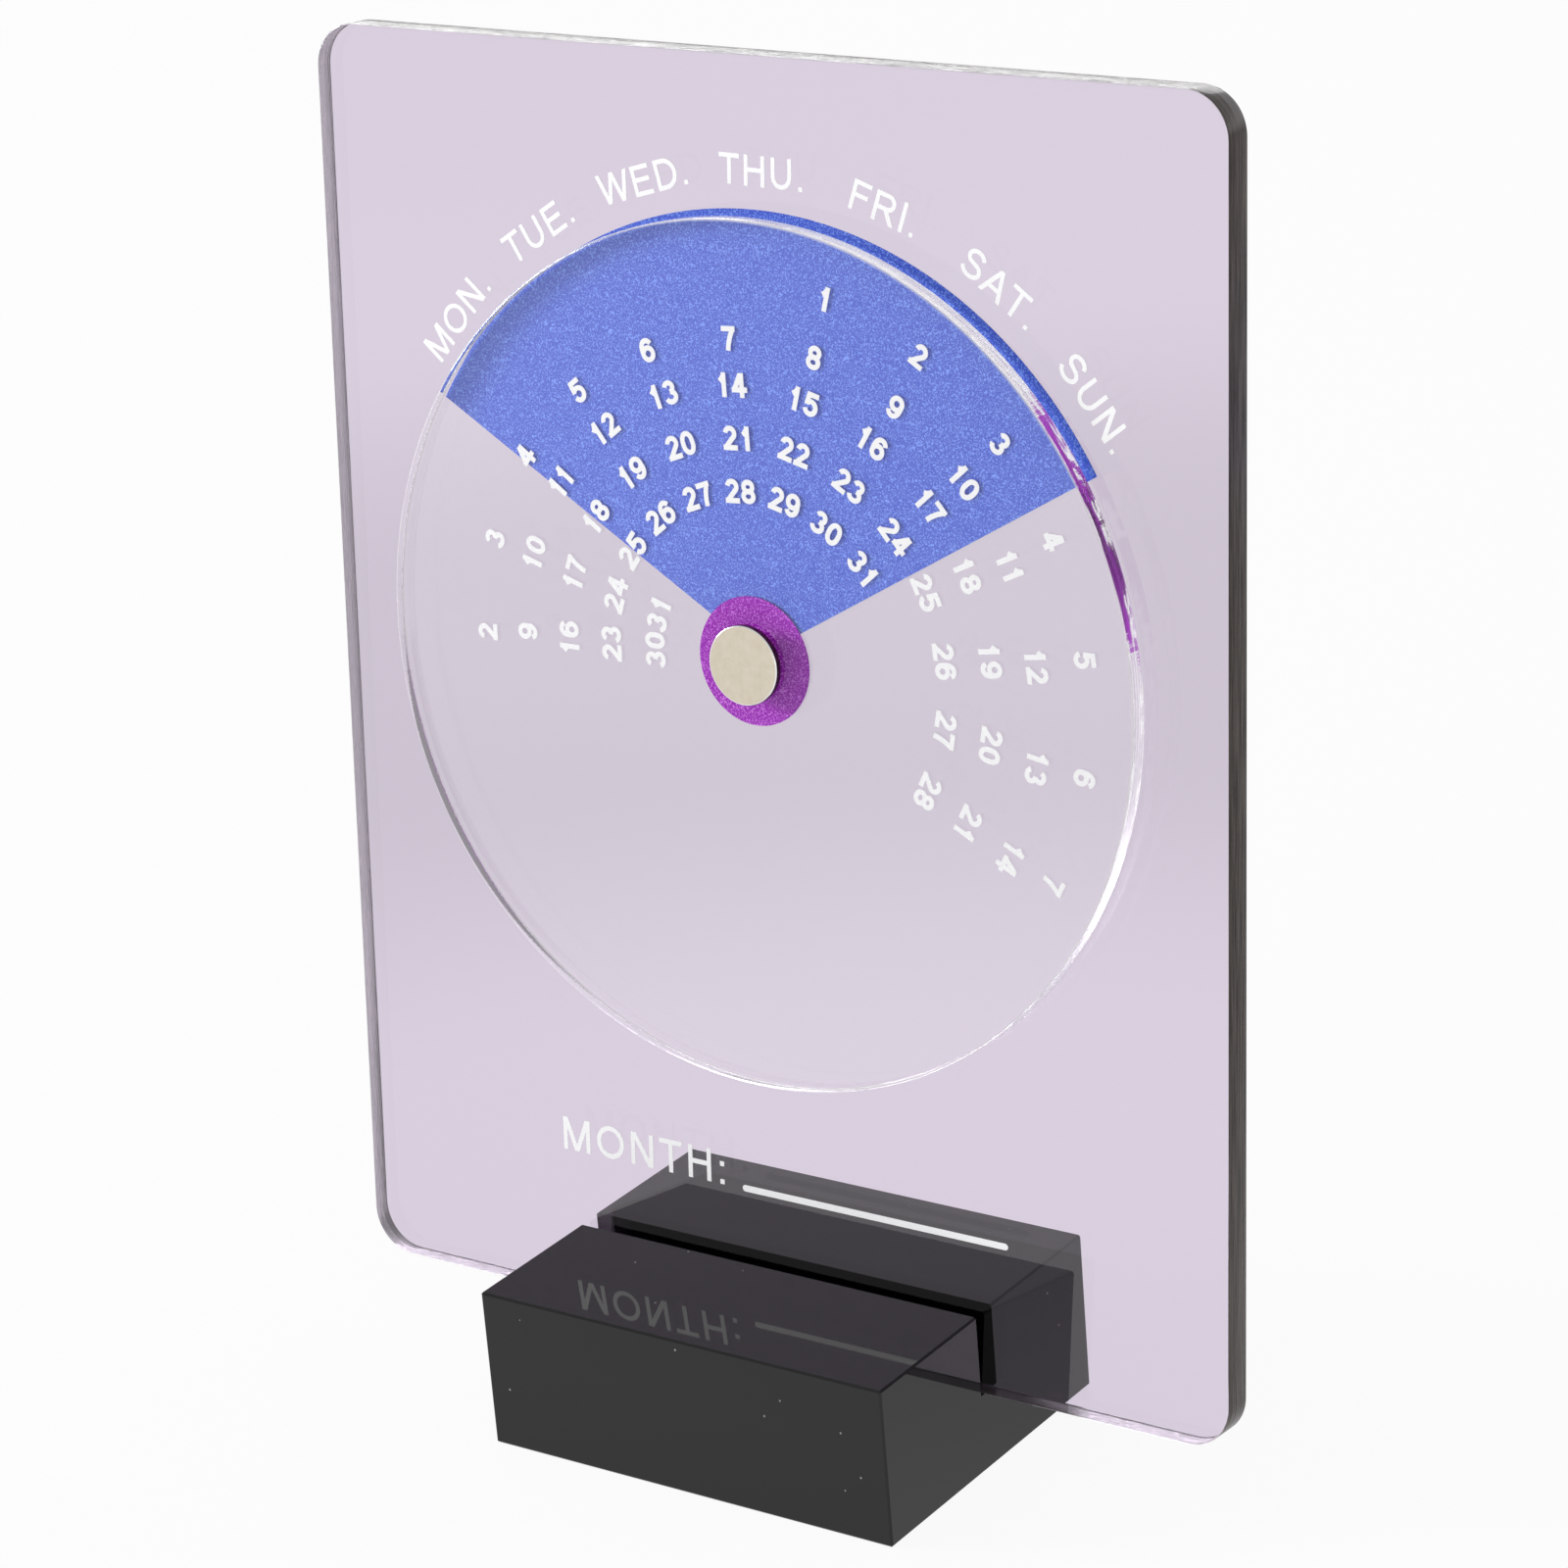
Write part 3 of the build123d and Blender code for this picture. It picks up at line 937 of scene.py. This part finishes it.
def makeFloor():
    material, tree = newMaterial("paleFloor")
    straight, through, mirrored = seenRays(tree)
    place = addNode(tree, "ShaderNodeTexCoord").outputs["Object"]
    away = addNode(tree, "ShaderNodeVectorMath", {"operation": "LENGTH"}, {0: place}).outputs["Value"]
    spot = addNode(tree, "ShaderNodeSeparateXYZ", {}, {0: place}).outputs
    frontLevel, backLevel = studio["mirroredFloor"]
    low, high = studio["mirroredFrom"]
    gloss = addNode(tree, "ShaderNodeMapRange", {},
                    {0: spot["Y"], 1: low, 2: high, 3: frontLevel, 4: backLevel})
    # painted shade in a band on the floor behind the object, seen only through the acrylic
    near = addNode(tree, "ShaderNodeMapRange", {"interpolation_type": "SMOOTHSTEP"},
                   {0: away, 1: paintedFloorShade["start"], 2: paintedFloorShade["full"]})
    far = addNode(tree, "ShaderNodeMapRange", {"interpolation_type": "SMOOTHSTEP"},
                  {0: away, 1: paintedFloorShade["end"], 2: paintedFloorShade["over"], 3: paintedFloorShade["depth"], 4: 0.0})
    dip = addNode(tree, "ShaderNodeMath", {"operation": "MULTIPLY"},
                  {0: near.outputs[0], 1: far.outputs[0]})
    low, high = studio["floorRight"]
    toRight = addNode(tree, "ShaderNodeMapRange", {},
                      {0: spot["X"], 1: low, 2: high, 3: 1.0, 4: studio["rightSide"]})
    pale = addNode(tree, "ShaderNodeMath", {"operation": "SUBTRACT"},
                   {0: toRight.outputs[0], 1: dip.outputs[0]})
    strength = 1.0
    for ray, level in ((mirrored, gloss.outputs[0]), (through, pale.outputs[0])):
        strength = addNode(tree, "ShaderNodeMix", {"data_type": "FLOAT"},
                           {0: ray, 2: strength, 3: level}).outputs[0]
    seen = addNode(tree, "ShaderNodeMath", {"operation": "MAXIMUM"}, {0: straight, 1: through})
    looked = addNode(tree, "ShaderNodeMath", {"operation": "MAXIMUM"}, {0: seen.outputs[0], 1: mirrored})
    share = addNode(tree, "ShaderNodeMapRange", {},
                    {0: looked.outputs[0], 3: studio["floorBounce"], 4: studio["floorGlow"]})
    matte = addNode(tree, "ShaderNodeBsdfDiffuse", {}, {"Color": linear(studio["floor"])})
    glow = addNode(tree, "ShaderNodeEmission", {}, {"Color": linear("#ffffff"), "Strength": strength})
    surface = addNode(tree, "ShaderNodeMixShader", {},
                      {0: share.outputs[0], 1: matte.outputs[0], 2: glow.outputs[0]})
    finishMaterial(tree, surface.outputs[0])
    half = studio["floorSize"] / 2
    corners = [(-half, -half, 0), (half, -half, 0), (half, half, 0), (-half, half, 0)]
    mesh = bpy.data.meshes.new("floor")
    mesh.from_pydata(corners, [], [(0, 1, 2, 3)])
    mesh.materials.append(material)
    floor = bpy.data.objects.new("floor", mesh)
    floor.location.z = -studio["floorDrop"]
    bpy.context.scene.collection.objects.link(floor)


def makeSky():
    world = bpy.data.worlds.new("softbox")
    world.use_nodes = True
    tree = world.node_tree
    tree.nodes.clear()
    straight, through, mirrored = seenRays(tree)
    direction = addNode(tree, "ShaderNodeTexCoord").outputs["Generated"]
    heading = addNode(tree, "ShaderNodeSeparateXYZ", {}, {0: direction}).outputs
    low, high = studio["skyHigh"]
    fading = addNode(tree, "ShaderNodeMapRange", {},
                     {0: heading["Z"], 1: low, 2: high, 3: 1.0, 4: studio["mirroredSky"]})
    # in front and in the middle the sky stays bright and to the right it is dim, as the disc's rim shows
    low, high = studio["skyMiddle"]
    middle = addNode(tree, "ShaderNodeMapRange", {}, {0: heading["X"], 1: low, 2: high})
    low, high = studio["skyFront"]
    inFront = addNode(tree, "ShaderNodeMapRange", {}, {0: heading["Y"], 1: low, 2: high})
    whiteShare = addNode(tree, "ShaderNodeMath", {"operation": "MAXIMUM"},
                         {0: middle.outputs[0], 1: inFront.outputs[0]})
    bright = addNode(tree, "ShaderNodeMix", {"data_type": "FLOAT"},
                     {0: whiteShare.outputs[0], 2: fading.outputs[0], 3: 1.0})
    low, high = studio["skyRight"]
    toRight = addNode(tree, "ShaderNodeMapRange", {}, {0: heading["X"], 1: low, 2: high})
    shaded = addNode(tree, "ShaderNodeMix", {"data_type": "FLOAT"},
                     {0: toRight.outputs[0], 2: bright.outputs[0], 3: studio["rightSide"]})
    strength = studio["sky"]
    for ray, level in ((mirrored, fading.outputs[0]), (through, shaded.outputs[0]), (straight, 1.0)):
        strength = addNode(tree, "ShaderNodeMix", {"data_type": "FLOAT"},
                           {0: ray, 2: strength, 3: level}).outputs[0]
    glow = addNode(tree, "ShaderNodeBackground", {}, {"Color": linear("#ffffff"), "Strength": strength})
    addNode(tree, "ShaderNodeOutputWorld", {}, {"Surface": glow.outputs[0]})
    bpy.context.scene.world = world


def addLamp(name, look):
    lamp = bpy.data.lights.new(name, "AREA")
    lamp.shape = "RECTANGLE"
    lamp.size, lamp.size_y = look["size"]
    lamp.energy = look["power"]
    holder = bpy.data.objects.new(name, lamp)
    holder.location = look["place"]
    aim = Vector(studio["aim"]) - holder.location
    holder.rotation_euler = aim.to_track_quat("-Z", "Y").to_euler()
    bpy.context.scene.collection.objects.link(holder)


makeFloor()
makeSky()
addLamp("keyLight", keyLight)
addLamp("backStrip", backStrip)

# Camera solved from the photograph
cameraSetup = {
    "place": (0.396057, -0.536525, 0.352774),
    "forward": (-0.54867, 0.75629, -0.35634),
    "roll": 4.708,
    "lens": 116.936,
    "sensor": 36.0,
}


def makeCamera():
    data = bpy.data.cameras.new("camera")
    data.lens = cameraSetup["lens"]
    data.sensor_width = cameraSetup["sensor"]
    data.sensor_fit = "HORIZONTAL"
    holder = bpy.data.objects.new("camera", data)
    forward = Vector(cameraSetup["forward"]).normalized()
    level = forward.cross(Vector((0, 0, 1))).normalized()
    right = Matrix.Rotation(math.radians(cameraSetup["roll"]), 3, forward) @ level
    up = right.cross(forward)
    turn = Matrix((right, up, -forward)).transposed().to_4x4()
    holder.matrix_world = Matrix.Translation(Vector(cameraSetup["place"])) @ turn
    bpy.context.scene.collection.objects.link(holder)
    bpy.context.scene.camera = holder


makeCamera()
bpy.context.scene.view_settings.view_transform = "Standard"
# light runs along inside the acrylic from edge to edge, mirrored many times between its faces
lightBounces = 128
bpy.context.scene.cycles.max_bounces = lightBounces
bpy.context.scene.cycles.glossy_bounces = lightBounces
bpy.context.scene.cycles.transmission_bounces = lightBounces
print("studio ready")
